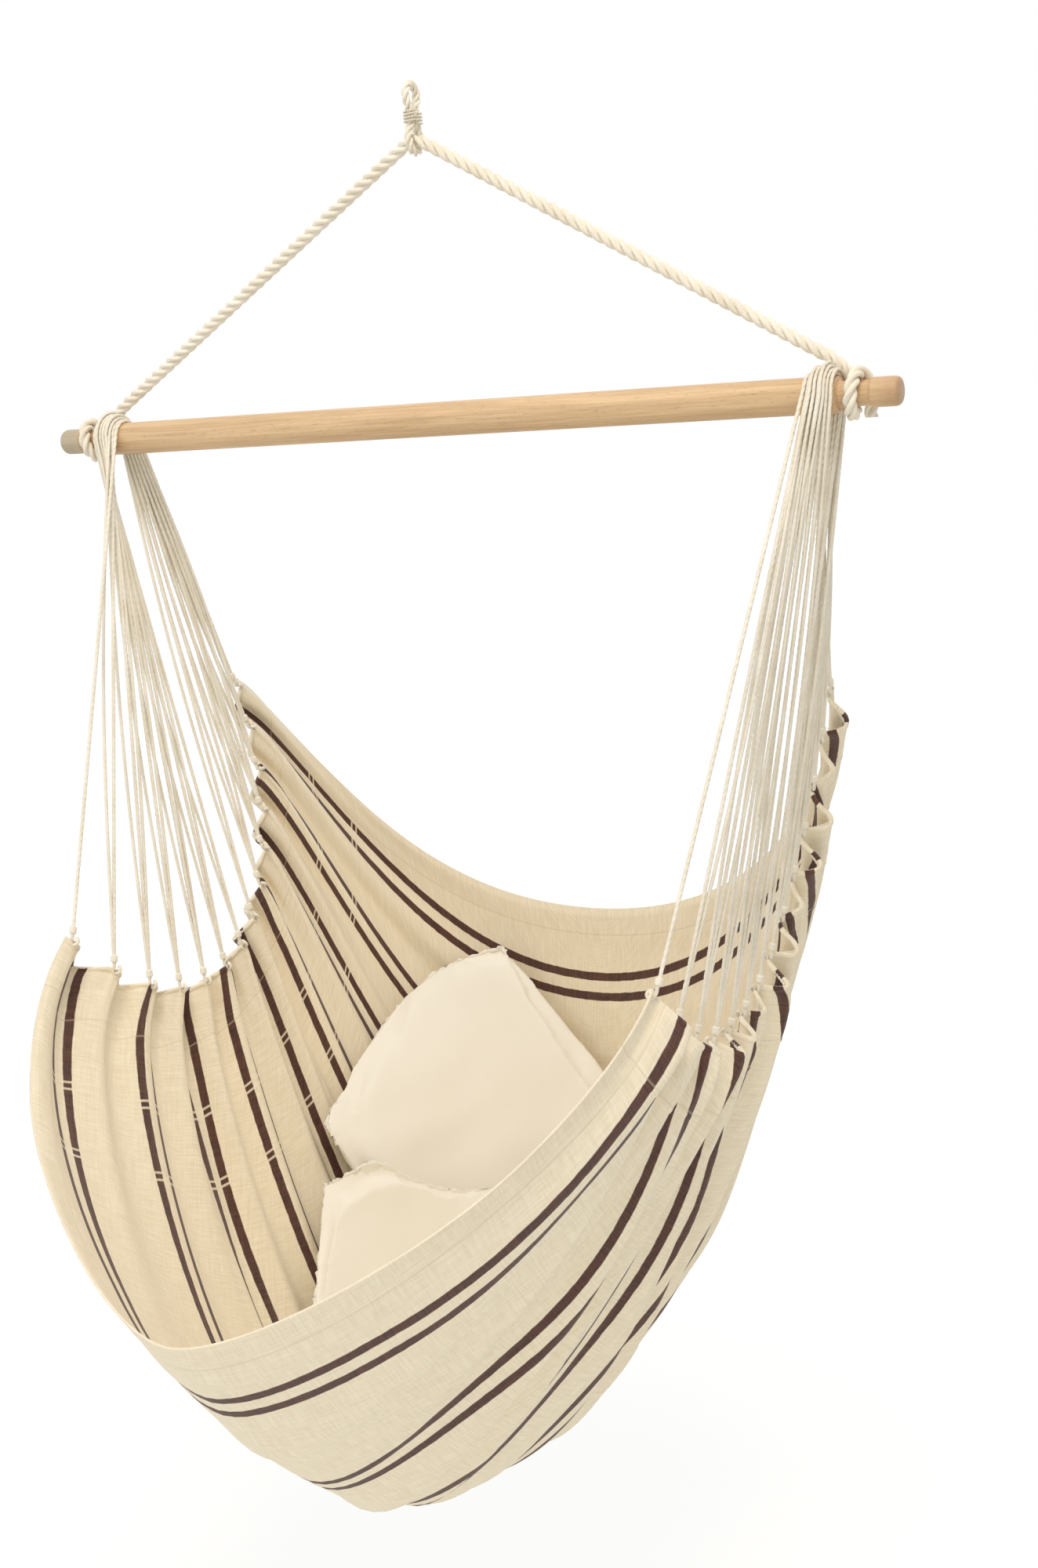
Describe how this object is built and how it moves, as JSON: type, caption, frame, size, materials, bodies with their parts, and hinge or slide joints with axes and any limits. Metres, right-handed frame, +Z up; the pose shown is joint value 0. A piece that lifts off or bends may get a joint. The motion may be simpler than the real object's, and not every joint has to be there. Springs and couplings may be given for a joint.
{
  "type": "hammock chair",
  "caption": "Hanging chair: a striped cloth seat on fans of cords from a wooden spreader bar, hung by a rope sling and eye, with two loose cushions.",
  "frame": {"origin": "inner top of the hanging eye, where the hook bears", "axes": "+Z up, +X along the spreader bar, the open front of the seat faces -Y"},
  "size_m": [1.1, 0.965, 1.6492],
  "materials": {
    "rope": "twisted cotton rope",
    "wood": "clear lacquered light wood",
    "cord": "thin twisted cotton cord",
    "cloth": "woven cotton, cream with pairs of dark brown stripes",
    "cushion_cover": "plain woven cotton cover over soft filling"
  },
  "bodies": {
    "eye": {"hanging_eye": "rope", "neck_whipping": "rope"},
    "sling": {"sling_rope": "rope", "spreader_bar": "wood"},
    "seat": {"hammock_cloth": "cloth", "left_edge_cord": "cord", "right_edge_cord": "cord", "left_cord_1": "cord", "left_cord_2": "cord", "left_cord_3": "cord", "left_cord_4": "cord", "left_cord_5": "cord", "left_cord_6": "cord", "left_cord_7": "cord", "right_cord_1": "cord", "right_cord_2": "cord", "right_cord_3": "cord", "right_cord_4": "cord", "right_cord_5": "cord", "right_cord_6": "cord", "right_cord_7": "cord"},
    "back_cushion": {"back_cushion": "cushion_cover"},
    "seat_cushion": {"seat_cushion": "cushion_cover"}
  },
  "joints": [
    {"name": "swing", "type": "hinge", "parent": "eye", "child": "sling", "pos_m": [0, 0, -0.055], "axis": [1, 0, 0], "range_deg": [-25, 25]},
    {"name": "seat_tilt", "type": "hinge", "parent": "sling", "child": "seat", "pos_m": [0, 0, -0.363], "axis": [1, 0, 0], "range_deg": [-15, 15]},
    {"name": "back_cushion_lift", "type": "slide", "parent": "seat", "child": "back_cushion", "axis": [0, 0, 1], "range_m": [0, 0.35]},
    {"name": "seat_cushion_lift", "type": "slide", "parent": "back_cushion", "child": "seat_cushion", "axis": [0, 0, 1], "range_m": [0, 0.35]}
  ]
}
